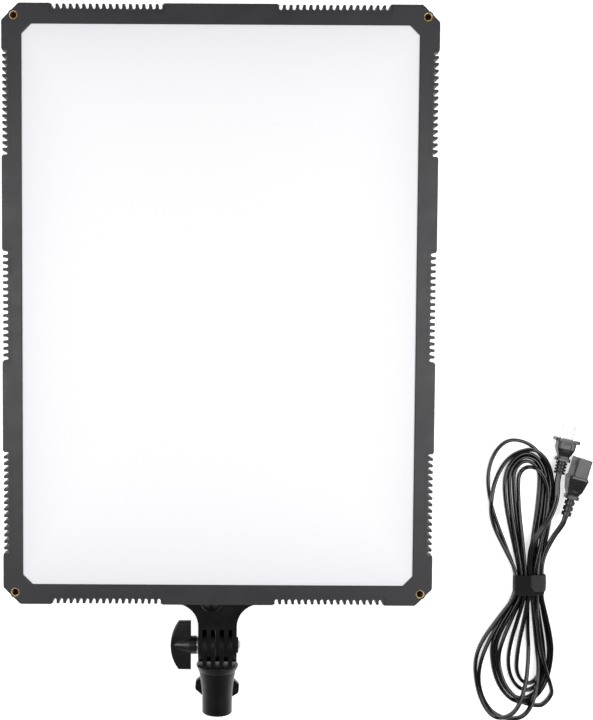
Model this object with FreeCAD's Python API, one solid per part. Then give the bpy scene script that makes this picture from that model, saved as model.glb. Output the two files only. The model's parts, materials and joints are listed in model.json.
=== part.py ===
import FreeCAD, Part
import math
import os

# Slim studio LED panel lying on its back, face up, with its tilting stand socket
# and its loose mains cord tied in a hank beside it.  Millimetres, +Z up.
# Origin: on the supporting surface, under the middle of the light (cord not counted).
# +Y runs from the stand socket towards the panel's top edge, +Z is the way it shines.

V = FreeCAD.Vector

# ---------------------------------------------------------------- driving dimensions
PANEL_W = 434.0           # front bezel, side to side
PANEL_H = 601.0           # front bezel, lower edge to upper edge
EDGE_DEPTH = 20.0         # depth of the bezel's edge
EDGE_FLARE = 1.2          # how much further out the bezel's rear edge stands
CORNER_CUT = 17.0         # cut corners of the bezel
BORDER_SIDE = 19.8        # bezel width beside the window
BORDER_END = 20.2         # bezel width above and below the window
WINDOW_CUT = 9.7          # cut corners of the window
LIP = 2.0                 # thickness of the bezel's front lip
WALL = 9.0                # bezel wall between its outside and the cavity
CAVITY_CUT = 15.0

FRONT_Z = 75.0            # front face above the surface
REAR_Z = FRONT_Z - EDGE_DEPTH
COVER_T = 2.5             # rear cover sheet
COVER_Z = REAR_Z - COVER_T

FIN_PITCH = 6.6
FIN_SLOT = 3.6
FIN_DEPTH = 5.7           # slot root below the bezel's outline
FIN_INSET = 0.6           # fin tips below the outline
FIN_ROUND = 1.15          # rounding of the fin tips
END_COMBS = ((-112.4, 17), (112.4, 17))                   # along the upper and lower edge
SIDE_COMBS = ((203.0, 16), (1.4, 17), (-197.4, 16))       # along both sides, from the middle up
COMB_STEP = 0.7           # depth of the recess around each comb
COMB_STEP_IN = 8.9        # inner edge of that recess

INSERT_AT = 12.0          # corner insert centre, in from both edges
INSERT_R = 4.2
INSERT_BORE_R = 3.175     # quarter-inch screw
INSERT_DEEP = 15.0
BOSS_R = 5.6

TILT_BELOW = 48.3         # tilt axis below the bezel's lower edge
TILT_Z = 50.0
TINE_T = 4.4              # pitch of the interleaved tines
TINE_R = 16.9
NECK_HALF = 4.5 * TINE_T
SLOT_TOP = 20.3           # root of the upper tines above the tilt axis
FOOT_R = 23.5             # concave fillet from neck to foot
BOSS_TILT_R = 8.2         # round boss under the tilt bolt's head
BOSS_TILT_T = 1.8
SOCKET_LEN = 71.0         # tilt axis to the socket's mouth
SOCKET_R = 15.5
COLLAR_R = 21.6
COLLAR_AT = 20.6
SPIGOT_BORE_R = 8.05      # takes a 16 mm stand spigot
SPIGOT_DEEP = 46.0
LOCK_BELOW = 54.2         # stand lock below the tilt axis
BOLT_R = 4.0              # M8 tilt bolt
LOCK_R = 2.95             # M6 lock stud
RUN_GAP = 0.05            # radial running clearance

HOUSE_HALF_X = 110.0      # power and control housing on the back
HOUSE_HALF_Y = 118.0
HOUSE_WALL = 3.0
FOOT_H = 3.0              # rubber feet
HOUSE_Z = FOOT_H

PANEL_Y = (SOCKET_LEN + TILT_BELOW - EDGE_FLARE) / 2      # panel centre from the origin
TILT_Y = PANEL_Y - PANEL_H / 2 - TILT_BELOW
HALF_W = PANEL_W / 2
HALF_H = PANEL_H / 2
CAVITY_X = HALF_W - WALL
CAVITY_Y = HALF_H - WALL

os.makedirs("parts", exist_ok=True)
exported = []


# ---------------------------------------------------------------- small helpers
def box(x0, y0, z0, x1, y1, z1):
    return Part.makeBox(x1 - x0, y1 - y0, z1 - z0, V(x0, y0, z0))


def centred_box(centre, size):
    low = V(*[c - s / 2 for c, s in zip(centre, size)])
    return Part.makeBox(size[0], size[1], size[2], low)


def rod(start, direction, radius, length):
    return Part.makeCylinder(radius, length, V(*start), V(*direction))


def ring(start, direction, outer, inner, length):
    return rod(start, direction, outer, length).cut(rod(start, direction, inner, length))


def rounded_wire(points, radius):
    """Closed wire through the points, every corner rounded; radius may be a list."""
    count = len(points)
    radii = radius if isinstance(radius, (list, tuple)) else [radius] * count
    corners = []
    for i, here in enumerate(points):
        back = (points[i - 1] - here).normalize()
        on = (points[(i + 1) % count] - here).normalize()
        half = back.getAngle(on) / 2
        reach = radii[i] / math.tan(half)
        middle = here + (back + on).normalize() * (radii[i] / math.sin(half) - radii[i])
        corners.append((here + back * reach, middle, here + on * reach))
    edges = []
    for i, (start, middle, end) in enumerate(corners):
        if radii[i] > 0:
            edges.append(Part.Arc(start, middle, end).toShape())
        after = corners[(i + 1) % count][0]
        if end.distanceToPoint(after) > 1e-6:
            edges.append(Part.LineSegment(end, after).toShape())
    return Part.Wire(edges)


def octagon(half_x, half_y, cut, radius, z):
    points = []
    for sx, sy in ((1, 1), (-1, 1), (-1, -1), (1, -1)):
        side = V(sx * half_x, sy * (half_y - cut), z)
        end = V(sx * (half_x - cut), sy * half_y, z)
        points += [side, end] if sx * sy > 0 else [end, side]
    return rounded_wire(points, radius)


def rectangle(half_x, half_y, radius, z, centre=(0, 0)):
    cx, cy = centre
    points = [V(cx + sx * half_x, cy + sy * half_y, z)
              for sx, sy in ((1, 1), (-1, 1), (-1, -1), (1, -1))]
    return rounded_wire(points, radius)


def prism(wire, height, direction=(0, 0, 1)):
    return Part.Face(wire).extrude(V(*direction) * height)


def octagon_plate(half_x, half_y, cut, radius, z0, z1):
    return prism(octagon(half_x, half_y, cut, radius, z0), z1 - z0)


def rounded_plate(half_x, half_y, radius, z0, z1, centre=(0, 0)):
    return prism(rectangle(half_x, half_y, radius, z0, centre), z1 - z0)


def turned(profile, axis=(0, 0, 1)):
    """Solid of revolution from (radius, height) pairs, about the given axis from the origin."""
    points = [V(r, 0, h) for r, h in profile]
    face = Part.Face(Part.makePolygon(points + [points[0]]))
    solid = face.revolve(V(0, 0, 0), V(0, 0, 1), 360)
    solid.Placement = FreeCAD.Placement(V(0, 0, 0), FreeCAD.Rotation(V(0, 0, 1), V(*axis)))
    return solid


def merge(shapes):
    return shapes[0].multiFuse(shapes[1:]).removeSplitter() if len(shapes) > 1 else shapes[0]


def moved(shape, x=0, y=0, z=0):
    copy = shape.copy()
    copy.translate(V(x, y, z))
    return copy


def turned_about_z(shape, degrees):
    copy = shape.copy()
    copy.rotate(V(0, 0, 0), V(0, 0, 1), degrees)
    return copy


def export(name, shape, origin=(0, 0, 0)):
    """Place a shape built about its own origin, and write it."""
    placed = moved(shape, *origin)
    if not placed.isValid():
        print("NOT VALID", name)
    placed.exportStep("parts/%s.step" % name)
    exported.append((name, len(placed.Solids), placed.Volume / 1000.0))
    return placed


PANEL = (0, PANEL_Y, 0)
HOUSE = (0, PANEL_Y, 0)
TILT = (0, TILT_Y, TILT_Z)


# ---------------------------------------------------------------- bezel with its fin combs
def edge_side(shape, side):
    """Turn something built on the upper edge onto one of the four edges."""
    return turned_about_z(shape, {"top": 0, "left": 90, "bottom": 180, "right": -90}[side])


def comb_list():
    """Every comb as (edge, half size across that edge, position along it, slot count)."""
    combs = []
    for at, count in END_COMBS:
        combs.append(("top", HALF_H, at, count))
        combs.append(("bottom", HALF_H, -at, count))
    for at, count in SIDE_COMBS:
        combs.append(("left", HALF_W, at, count))
        combs.append(("right", HALF_W, -at, count))
    return combs


def fin_slot(at, half):
    """One slot, open outwards, with a round root and rounded mouth."""
    edge = half - FIN_INSET
    w = FIN_SLOT / 2
    root = half - FIN_DEPTH
    r = FIN_ROUND
    out = half + 5
    k = r * (1 - math.sqrt(0.5))
    low = REAR_Z - 1
    p = {
        "a": V(at - w - r, out, low), "b": V(at - w - r, edge, low),
        "bc": V(at - w - k, edge - k, low), "c": V(at - w, edge - r, low),
        "d": V(at - w, root + w, low), "e": V(at, root, low), "f": V(at + w, root + w, low),
        "g": V(at + w, edge - r, low), "gh": V(at + w + k, edge - k, low),
        "h": V(at + w + r, edge, low), "i": V(at + w + r, out, low),
    }
    edges = [
        Part.LineSegment(p["a"], p["b"]).toShape(),
        Part.Arc(p["b"], p["bc"], p["c"]).toShape(),
        Part.LineSegment(p["c"], p["d"]).toShape(),
        Part.Arc(p["d"], p["e"], p["f"]).toShape(),
        Part.LineSegment(p["f"], p["g"]).toShape(),
        Part.Arc(p["g"], p["gh"], p["h"]).toShape(),
        Part.LineSegment(p["h"], p["i"]).toShape(),
        Part.LineSegment(p["i"], p["a"]).toShape(),
    ]
    return prism(Part.Wire(edges), EDGE_DEPTH + 2)


def comb_cutters():
    steps = []
    slots = []
    for side, half, at, count in comb_list():
        reach = (count - 1) * FIN_PITCH / 2
        length = reach + FIN_SLOT / 2 + 1.5
        trim = box(at - length, half - FIN_INSET, REAR_Z - 1, at + length, half + 4, FRONT_Z + 1)
        outline = rectangle(length + 1.2, 12, 3.0, FRONT_Z - COMB_STEP, (at, half - COMB_STEP_IN + 12))
        steps.append(edge_side(trim, side))
        steps.append(edge_side(prism(outline, COMB_STEP + 1), side))
        for i in range(count):
            slots.append(edge_side(fin_slot(at - reach + i * FIN_PITCH, half), side))
    return steps, slots


def corner_points():
    x = HALF_W - INSERT_AT
    y = HALF_H - INSERT_AT
    return [(sx * x, sy * y) for sx in (-1, 1) for sy in (-1, 1)]


def cover_screw_points():
    """Screws sit in the plain stretches of the bezel, between the combs."""
    side = HALF_W - 4.4
    end = HALF_H - 4.4
    points = [(0, end), (-190, end), (190, end), (-190, -end), (190, -end), (-46, -end), (46, -end)]
    for x in (-side, side):
        points += [(x, 102), (x, -98), (x, 270), (x, -268)]
    return points


def front_frame():
    front = octagon(HALF_W, HALF_H, CORNER_CUT, 3.5, FRONT_Z)
    rear = octagon(HALF_W + EDGE_FLARE, HALF_H + EDGE_FLARE, CORNER_CUT, 3.5, REAR_Z)
    body = Part.makeLoft([rear, front], True, True)
    bosses = [rod((x, y, REAR_Z), (0, 0, 1), BOSS_R, EDGE_DEPTH) for x, y in corner_points()]
    body = body.multiFuse(bosses)
    window_x = HALF_W - BORDER_SIDE
    window_y = HALF_H - BORDER_END
    bevel = 0.8
    cutters = [
        octagon_plate(CAVITY_X, CAVITY_Y, CAVITY_CUT, 3, REAR_Z - 1, FRONT_Z - LIP),
        octagon_plate(window_x, window_y, WINDOW_CUT, 2, FRONT_Z - LIP - 1, FRONT_Z + 1),
        Part.makeLoft([octagon(window_x, window_y, WINDOW_CUT, 2, FRONT_Z - bevel),
                       octagon(window_x + 2 * bevel, window_y + 2 * bevel, WINDOW_CUT, 2,
                               FRONT_Z + bevel)], True, True),
    ]
    for x, y in corner_points():
        cutters.append(rod((x, y, FRONT_Z - INSERT_DEEP), (0, 0, 1), INSERT_R, INSERT_DEEP + 1))
    for x, y in cover_screw_points():
        cutters.append(rod((x, y, REAR_Z - 1), (0, 0, 1), 1.25, 10.5))
    steps, slots = comb_cutters()
    for group in (cutters, steps, slots):
        body = body.cut(group)
    return body


def corner_inserts():
    flange = 0.6
    solids = []
    for x, y in corner_points():
        bush = ring((x, y, FRONT_Z - INSERT_DEEP), (0, 0, 1), INSERT_R, INSERT_BORE_R, INSERT_DEEP)
        mouth = Part.makeCone(INSERT_BORE_R, INSERT_BORE_R + flange, flange, V(x, y, FRONT_Z - flange))
        solids.append(bush.cut(mouth))
    return Part.makeCompound(solids)


frame_shape = front_frame()
export("front_frame", frame_shape, PANEL)
export("corner_inserts", corner_inserts(), PANEL)


# ---------------------------------------------------------------- optical stack
STACK_TOP = FRONT_Z - LIP
DIFFUSER_T = 2.0
GUIDE_T = 4.0
REFLECTOR_T = 0.4
PLATE_T = 1.5
GUIDE_TOP = STACK_TOP - DIFFUSER_T
GUIDE_LOW = GUIDE_TOP - GUIDE_T
REFLECTOR_LOW = GUIDE_LOW - REFLECTOR_T
PLATE_LOW = REFLECTOR_LOW - PLATE_T
GUIDE_X = CAVITY_X - 3.6
GUIDE_Y = CAVITY_Y - 1.0
STRIP_T = 1.2
STRIP_HALF_Y = 272.0
CHIP_PITCH = 12.0
CHIP_COUNT = 45

export("diffuser_sheet", octagon_plate(CAVITY_X - 0.6, CAVITY_Y - 0.6, CAVITY_CUT, 2,
                                       GUIDE_TOP, STACK_TOP), PANEL)
export("light_guide", octagon_plate(GUIDE_X, GUIDE_Y, CAVITY_CUT, 2, GUIDE_LOW, GUIDE_TOP), PANEL)
export("reflector_sheet", octagon_plate(GUIDE_X, GUIDE_Y, CAVITY_CUT, 2,
                                        REFLECTOR_LOW, GUIDE_LOW), PANEL)
export("back_plate", octagon_plate(GUIDE_X, GUIDE_Y, CAVITY_CUT, 2, PLATE_LOW, REFLECTOR_LOW), PANEL)

strip_out = CAVITY_X - 0.2
for name, side in (("led_strip_left", -1), ("led_strip_right", 1)):
    x = side * (strip_out - STRIP_T / 2)
    export(name, centred_box((x, 0, GUIDE_TOP - 3.4), (STRIP_T, 2 * STRIP_HALF_Y, 6.6)), PANEL)

chips = []
for side in (-1, 1):
    x = side * (strip_out - STRIP_T - 0.7)
    for i in range(CHIP_COUNT):
        y = (i - (CHIP_COUNT - 1) / 2) * CHIP_PITCH
        chips.append(centred_box((x, y, GUIDE_TOP - GUIDE_T / 2), (1.4, 5.6, 3.0)))
export("led_chips", Part.makeCompound(chips), PANEL)


# ---------------------------------------------------------------- rear cover
COVER_X = HALF_W - 7.4
COVER_Y = HALF_H - 7.4
COVER_CUT = 16.0
RIB_X = (-150.0, 150.0)
RIB_Y = (-210.0, -140.0, 140.0, 210.0)
HOUSE_SCREWS = [(sx * (HOUSE_HALF_X + 6), y) for sx in (-1, 1) for y in (-90, 0, 90)]
FOOT_SCREWS = [(sx * 28.0, -HALF_H + up) for sx in (-1, 1) for up in (14.0, 36.0)]
SCREW_R = 1.25
BRACKET_SCREW_R = 2.0


def vent_slots():
    """Four fields of cooling slots above and below the housing."""
    slots = []
    for cx in (-84.0, 84.0):
        for cy in (-176.0, 176.0):
            for i in range(9):
                at = (cx, cy + (i - 4) * 6.0)
                slots.append(rounded_plate(34, 1.5, 1.45, COVER_Z - 1, REAR_Z + 1, at))
    return slots


def rear_cover():
    sheet = octagon_plate(COVER_X, COVER_Y, COVER_CUT, 3, COVER_Z, REAR_Z)
    tabs = []
    for x, y in cover_screw_points():
        along_end = abs(y) > HALF_H - 6
        half = (6.0, 8.0) if along_end else (8.0, 6.0)
        centre = (x, y - math.copysign(4.2, y)) if along_end else (x - math.copysign(4.2, x), y)
        tabs.append(rounded_plate(half[0], half[1], 3, COVER_Z, REAR_Z, centre))
    ribs = [box(x - 1, -284, REAR_Z, x + 1, 284, PLATE_LOW) for x in RIB_X]
    ribs += [box(-200, y - 1, REAR_Z, 200, y + 1, PLATE_LOW) for y in RIB_Y]
    bosses = [rod((x, y, REAR_Z), (0, 0, 1), 4.0, 8.0) for x, y in HOUSE_SCREWS + FOOT_SCREWS]
    fins = []
    for cx in (-166.0, 166.0):
        for i in range(9):
            fins.append(rounded_plate(0.9, 118, 0.85, COVER_Z - 3.5, COVER_Z, (cx + (i - 4) * 8.0, 0)))
    body = merge([sheet] + tabs + ribs + bosses + fins)
    wire_hole = rounded_plate(30, 14, 4, COVER_Z - 1, REAR_Z + 1, (0, -60))
    cutters = vent_slots() + [wire_hole]
    cutters += [rod((x, y, COVER_Z - 1), (0, 0, 1), SCREW_R, 12) for x, y in cover_screw_points()]
    cutters += [rod((x, y, COVER_Z - 1), (0, 0, 1), SCREW_R, 11) for x, y in HOUSE_SCREWS]
    cutters += [rod((x, y, COVER_Z - 1), (0, 0, 1), BRACKET_SCREW_R, 11) for x, y in FOOT_SCREWS]
    return body.cut(cutters)


def pan_screw(x, y, seat_z, shank_r, length, head_r, head_h):
    """Pan-head screw driven upwards, its head below seat_z, with a cross recess."""
    head = rod((x, y, seat_z), (0, 0, -1), head_r, head_h)
    shank = rod((x, y, seat_z), (0, 0, 1), shank_r, length)
    deep = head_h * 0.6
    low = seat_z - head_h
    cross = [centred_box((x, y, low + deep / 2 - 0.1), size)
             for size in ((head_r * 1.2, head_r * 0.28, deep + 0.2), (head_r * 0.28, head_r * 1.2, deep + 0.2))]
    return head.fuse(shank).cut(cross)


cover_shape = rear_cover()
export("rear_cover", cover_shape, PANEL)
export("cover_screws", Part.makeCompound(
    [pan_screw(x, y, COVER_Z, SCREW_R, 11, 2.7, 1.6) for x, y in cover_screw_points()]), PANEL)


# ---------------------------------------------------------------- power and control housing
POCKET = (0.0, 54.0)          # centre of the recessed control pocket
POCKET_HALF = (82.0, 34.0)
POCKET_Z = 19.0               # face of the control panel
PANEL_T = 2.5
MAINS_X = -44.0               # mains inlet on the lower end wall
MAINS_Z = 29.0
ROCKER_X = 40.0
ROCKER_Z = 29.0
FLANGE_Z = COVER_Z - 3.0
POST_R = 3.5
PSU_Z = 14.0
PSU_POSTS = [(sx * 74, y) for sx in (-1, 1) for y in (-102, -30)]
DRIVER_Z = 38.0
DRIVER_POSTS = [(sx * 96, y) for sx in (-1, 1) for y in (4, 104)]


def power_housing():
    outer = rounded_plate(HOUSE_HALF_X, HOUSE_HALF_Y, 12, HOUSE_Z, COVER_Z)
    low_edges = [e for e in outer.Edges if abs(e.CenterOfMass.z - HOUSE_Z) < 1e-3]
    outer = outer.makeFillet(3.0, low_edges)
    inner = rounded_plate(HOUSE_HALF_X - HOUSE_WALL, HOUSE_HALF_Y - HOUSE_WALL, 9,
                          HOUSE_Z + HOUSE_WALL, COVER_Z + 1)
    shell = outer.cut(inner)
    collar = rounded_plate(POCKET_HALF[0] + 3, POCKET_HALF[1] + 3, 7, HOUSE_Z + 1, POCKET_Z, POCKET)
    ears = [rounded_plate(8, 8, 4, FLANGE_Z, COVER_Z, (x - math.copysign(2, x), y))
            for x, y in HOUSE_SCREWS]
    ears = [ear.cut(inner) for ear in ears]
    posts = [rod((x, y, HOUSE_Z + 1), (0, 0, 1), POST_R, PSU_Z - HOUSE_Z - 1) for x, y in PSU_POSTS]
    posts += [rod((x, y, HOUSE_Z + 1), (0, 0, 1), POST_R, DRIVER_Z - HOUSE_Z - 1)
              for x, y in DRIVER_POSTS]
    body = merge([shell, collar] + ears + posts)
    pocket = rounded_plate(POCKET_HALF[0], POCKET_HALF[1], 4, HOUSE_Z - 1, POCKET_Z + 1, POCKET)
    cutters = [pocket]
    cutters += [rod((x, y, FLANGE_Z - 1), (0, 0, 1), SCREW_R, 6) for x, y in HOUSE_SCREWS]
    cutters += [rod((x, y, PSU_Z - 6), (0, 0, 1), SCREW_R, 7) for x, y in PSU_POSTS]
    cutters += [rod((x, y, DRIVER_Z - 6), (0, 0, 1), SCREW_R, 7) for x, y in DRIVER_POSTS]
    end = -HOUSE_HALF_Y
    cutters.append(centred_box((MAINS_X, end, MAINS_Z), (27.2, 14, 20.2)))
    cutters.append(centred_box((ROCKER_X, end, ROCKER_Z), (13.2, 14, 21.2)))
    for i in range(11):
        for side in (-1, 1):
            slot = centred_box((side * HOUSE_HALF_X, (i - 5) * 9.0, 34), (14, 3.2, 18))
            cutters.append(slot)
    for i in range(9):
        cutters.append(centred_box(((i - 4) * 14.0, HOUSE_HALF_Y, 34), (3.2, 14, 16)))
    return body.cut(cutters)


export("power_housing", power_housing(), HOUSE)
export("housing_screws", Part.makeCompound(
    [pan_screw(x, y, FLANGE_Z, SCREW_R, 13, 2.7, 1.8) for x, y in HOUSE_SCREWS]), HOUSE)
rubber_foot = turned([(0, 0), (7.2, 0), (8.0, 0.8), (8.0, FOOT_H), (0, FOOT_H)])
export("rubber_feet", Part.makeCompound(
    [moved(rubber_foot, sx * 96, sy * 104) for sx in (-1, 1) for sy in (-1, 1)]), HOUSE)


# ---------------------------------------------------------------- electronics inside the housing
BOARD_T = 1.6


def board(half_x, half_y, z, centre, holes):
    sheet = rounded_plate(half_x, half_y, 2, z, z + BOARD_T, centre)
    return sheet.cut([rod((x, y, z - 1), (0, 0, 1), SCREW_R, BOARD_T + 2) for x, y in holes])


def board_screw(x, y, z):
    """Pan-head screw driven downwards through a board into its post."""
    return rod((x, y, z - 5), (0, 0, 1), SCREW_R, 5).fuse(rod((x, y, z), (0, 0, 1), 2.7, 1.8))


export("psu_board", board(80, 42, PSU_Z, (0, -66), PSU_POSTS), HOUSE)
export("driver_board", board(102, 56, DRIVER_Z, (0, 54), DRIVER_POSTS), HOUSE)
screws = [board_screw(x, y, PSU_Z + BOARD_T) for x, y in PSU_POSTS]
screws += [board_screw(x, y, DRIVER_Z + BOARD_T) for x, y in DRIVER_POSTS]
export("board_screws", Part.makeCompound(screws), HOUSE)

psu_top = PSU_Z + BOARD_T
core = centred_box((-6, -60, psu_top + 13), (34, 28, 26))
winding = centred_box((-6, -60, psu_top + 13), (22, 36, 20))
export("psu_transformer", merge([core, winding]), HOUSE)
export("psu_capacitors", Part.makeCompound(
    [rod((34 + 19 * i, -52, psu_top), (0, 0, 1), 8, 26) for i in range(2)]
    + [rod((32 + 12 * i, -84, psu_top), (0, 0, 1), 5, 18) for i in range(3)]), HOUSE)
heatsinks = []
for y in (-84.0, -38.0):
    spine = centred_box((-50, y, psu_top + 11), (46, 3, 22))
    fins = [centred_box((-70 + 10 * i, y + 4, psu_top + 11), (2, 6, 22)) for i in range(5)]
    heatsinks.append(merge([spine] + fins))
export("psu_heatsinks", Part.makeCompound(heatsinks), HOUSE)
export("driver_inductors", Part.makeCompound(
    [rod((-66 + 26 * i, 84, DRIVER_Z + BOARD_T), (0, 0, 1), 8, 10) for i in range(6)]), HOUSE)


# ---------------------------------------------------------------- control panel, on the back
DISPLAY = (-44.0, 62.0)
DISPLAY_HALF = (30.0, 17.0)
BUTTONS = (("mode_button", -64.0), ("back_button", -44.0), ("channel_button", -24.0))
BUTTON_Y = 34.0
BUTTON_R = 4.5
KNOBS = (("dim", 18.0), ("cct", 58.0))
KNOB_Y = 54.0
KNOB_R = 14.0
SHAFT_R = 3.0
PANEL_TOP = POCKET_Z + PANEL_T
CONTROL_BOARD_Z = PANEL_TOP + 7.0


def control_panel():
    plate = rounded_plate(POCKET_HALF[0] + 3, POCKET_HALF[1] + 3, 7, POCKET_Z, PANEL_TOP, POCKET)
    window = rounded_plate(DISPLAY_HALF[0], DISPLAY_HALF[1], 2, POCKET_Z - 1, POCKET_Z + 1.2, DISPLAY)
    opening = rounded_plate(DISPLAY_HALF[0] - 2, DISPLAY_HALF[1] - 2, 1.5, POCKET_Z - 1,
                            PANEL_TOP + 1, DISPLAY)
    cutters = [window, opening]
    for _, x in BUTTONS:
        cutters.append(rod((x, BUTTON_Y, POCKET_Z - 1), (0, 0, 1), BUTTON_R + RUN_GAP, PANEL_T + 2))
    for _, x in KNOBS:
        cutters.append(rod((x, KNOB_Y, POCKET_Z - 1), (0, 0, 1), SHAFT_R + RUN_GAP, PANEL_T + 2))
    return plate.cut(cutters)


def grip_knob(x, y, z_low, z_high):
    """Fluted knob on a shaft that comes down through the panel."""
    body = turned([(0, 0), (KNOB_R - 1.4, 0), (KNOB_R - 0.4, 1.0), (KNOB_R, z_high - z_low), (0, z_high - z_low)])
    body = moved(body, x, y, z_low)
    flutes = 30
    cutters = []
    for i in range(flutes):
        a = 2 * math.pi * i / flutes
        at = (x + (KNOB_R + 0.5) * math.cos(a), y + (KNOB_R + 0.5) * math.sin(a), z_low + 2)
        cutters.append(rod(at, (0, 0, 1), 1.0, z_high - z_low))
    pointer = centred_box((x, y + KNOB_R - 5, z_low), (1.2, 6, 0.8))
    return body.cut(cutters + [pointer, rod((x, y, z_low + 3), (0, 0, 1), SHAFT_R, z_high - z_low)])


export("control_panel", control_panel(), HOUSE)
export("display_window", rounded_plate(DISPLAY_HALF[0], DISPLAY_HALF[1], 2, POCKET_Z,
                                       POCKET_Z + 1.2, DISPLAY), HOUSE)
export("display_module", rounded_plate(DISPLAY_HALF[0] - 2, DISPLAY_HALF[1] - 2, 1, PANEL_TOP,
                                       PANEL_TOP + 4.5, DISPLAY), HOUSE)
export("control_board", rounded_plate(76, 29, 2, CONTROL_BOARD_Z, CONTROL_BOARD_Z + BOARD_T,
                                      POCKET), HOUSE)

bodies = []
for _, x in KNOBS:
    block = centred_box((x, KNOB_Y, PANEL_TOP + 3.5), (13, 13, 7))
    bodies.append(block.cut(rod((x, KNOB_Y, PANEL_TOP - 1), (0, 0, 1), SHAFT_R + RUN_GAP, 7)))
export("encoder_bodies", Part.makeCompound(bodies), HOUSE)
export("tact_switches", Part.makeCompound(
    [centred_box((x, BUTTON_Y, CONTROL_BOARD_Z - 1.6), (6, 6, 3.2)) for _, x in BUTTONS]), HOUSE)

KNOB_LOW = 5.0
KNOB_HIGH = POCKET_Z - 1.0
for name, x in KNOBS:
    shaft = rod((x, KNOB_Y, KNOB_LOW + 3), (0, 0, 1), SHAFT_R, PANEL_TOP + 5 - KNOB_LOW - 3)
    export(name + "_shaft", shaft, HOUSE)
    export(name + "_knob", grip_knob(x, KNOB_Y, KNOB_LOW, KNOB_HIGH), HOUSE)
for name, x in BUTTONS:
    cap = turned([(0, 0), (BUTTON_R - 0.6, 0), (BUTTON_R, 0.6), (BUTTON_R, PANEL_T + 2.0),
                  (BUTTON_R + 1.5, PANEL_T + 2.0), (BUTTON_R + 1.5, PANEL_T + 3.0),
                  (0, PANEL_T + 3.0)])
    export(name, moved(cap, x, BUTTON_Y, POCKET_Z - 2.0), HOUSE)


# ---------------------------------------------------------------- mains inlet and power switch
END_Y = -HOUSE_HALF_Y


def xz_rect(half_x, half_z, radius, y, centre):
    cx, cz = centre
    points = [V(cx + sx * half_x, y, cz + sz * half_z)
              for sx, sz in ((1, 1), (-1, 1), (-1, -1), (1, -1))]
    return rounded_wire(points, radius)


def mains_inlet():
    at = (MAINS_X, MAINS_Z)
    flange = prism(xz_rect(16, 12.5, 3, END_Y - 2, at), 2, (0, 1, 0))
    body = prism(xz_rect(13.5, 10, 2, END_Y, at), 20, (0, 1, 0))
    socket = prism(xz_rect(12.3, 8.3, 2, END_Y - 3, at), 20, (0, 1, 0))
    pins = [centred_box((MAINS_X + sx * 7, END_Y + 10, MAINS_Z), (2, 30, 5)) for sx in (-1, 1)]
    return flange.fuse(body).cut([socket] + pins)


def rocker_frame():
    at = (ROCKER_X, ROCKER_Z)
    flange = prism(xz_rect(8.5, 12.5, 1.5, END_Y - 2, at), 2, (0, 1, 0))
    body = prism(xz_rect(6.5, 10.5, 1, END_Y, at), 17, (0, 1, 0))
    opening = prism(xz_rect(4.6, 9.2, 0.5, END_Y - 3, at), 17, (0, 1, 0))
    return flange.fuse(body).cut(opening)


ROCKER_ANGLE = 12.0
ROCKER_R = 8.9
ROCKER_W = 8.6
ROCKER_PIVOT = (ROCKER_X, END_Y + 3.0, ROCKER_Z)


def power_rocker():
    """Two-position rocker: a round-ended body with a shallow V face, tipped to 'off'."""
    x, y, z = ROCKER_PIVOT
    drum = rod((x - ROCKER_W / 2, y, z), (1, 0, 0), ROCKER_R, ROCKER_W)
    behind = centred_box((x, y + 10, z), (20, 14, 40))
    faces = []
    for sign in (-1, 1):
        front = centred_box((x, y - 5.2 - 10, z + sign * 15), (20, 20, 30))
        front.rotate(V(x, y - 5.2, z), V(1, 0, 0), sign * ROCKER_ANGLE)
        faces.append(front)
    rocker = drum.cut([behind] + faces)
    rocker.rotate(V(x, y, z), V(1, 0, 0), -ROCKER_ANGLE)
    return rocker


export("mains_inlet", mains_inlet(), HOUSE)
export("inlet_pins", Part.makeCompound(
    [centred_box((MAINS_X + sx * 7, END_Y + 13.5, MAINS_Z), (2, 23, 5)) for sx in (-1, 1)]), HOUSE)
export("rocker_frame", rocker_frame(), HOUSE)
export("power_rocker", power_rocker(), HOUSE)


# ---------------------------------------------------------------- tilt bracket, about the tilt axis
EDGE_UP = TILT_BELOW                  # bezel's lower edge above the tilt axis
BASE_TOP = COVER_Z - TILT_Z           # bracket foot against the rear cover
BASE_LOW = BASE_TOP - 8.0
BASE_UP = EDGE_UP + 48.0
FOOT_EDGE = EDGE_UP - 1.2             # where the neck's fillets meet the foot
BOLT_END = -37.0
KNOB_HUB_R = 9.3


def tine(x, thickness, far_y):
    """One tine: round about the tilt axis and running on to far_y."""
    left = x - thickness / 2
    disc = rod((left, 0, 0), (1, 0, 0), TINE_R, thickness)
    low, high = sorted((0, far_y))
    web = box(left, low, -TINE_R, left + thickness, high, TINE_R)
    return disc.fuse(web)


def neck_outline(z):
    """Neck that flares into the foot by two quarter-round fillets."""
    wide = NECK_HALF + FOOT_R
    start = FOOT_EDGE - FOOT_R
    k = FOOT_R * math.sqrt(0.5)
    top = EDGE_UP + 2
    right_mid = V(wide - k, start + k, z)
    left_mid = V(-(wide - k), start + k, z)
    points = {
        "low_right": V(NECK_HALF, SLOT_TOP, z), "right": V(NECK_HALF, start, z),
        "foot_right": V(wide, FOOT_EDGE, z), "top_right": V(wide, top, z),
        "top_left": V(-wide, top, z), "foot_left": V(-wide, FOOT_EDGE, z),
        "left": V(-NECK_HALF, start, z), "low_left": V(-NECK_HALF, SLOT_TOP, z),
    }
    p = points
    return Part.Wire([
        Part.LineSegment(p["low_right"], p["right"]).toShape(),
        Part.Arc(p["right"], right_mid, p["foot_right"]).toShape(),
        Part.LineSegment(p["foot_right"], p["top_right"]).toShape(),
        Part.LineSegment(p["top_right"], p["top_left"]).toShape(),
        Part.LineSegment(p["top_left"], p["foot_left"]).toShape(),
        Part.Arc(p["foot_left"], left_mid, p["left"]).toShape(),
        Part.LineSegment(p["left"], p["low_left"]).toShape(),
        Part.LineSegment(p["low_left"], p["low_right"]).toShape(),
    ])


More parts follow.
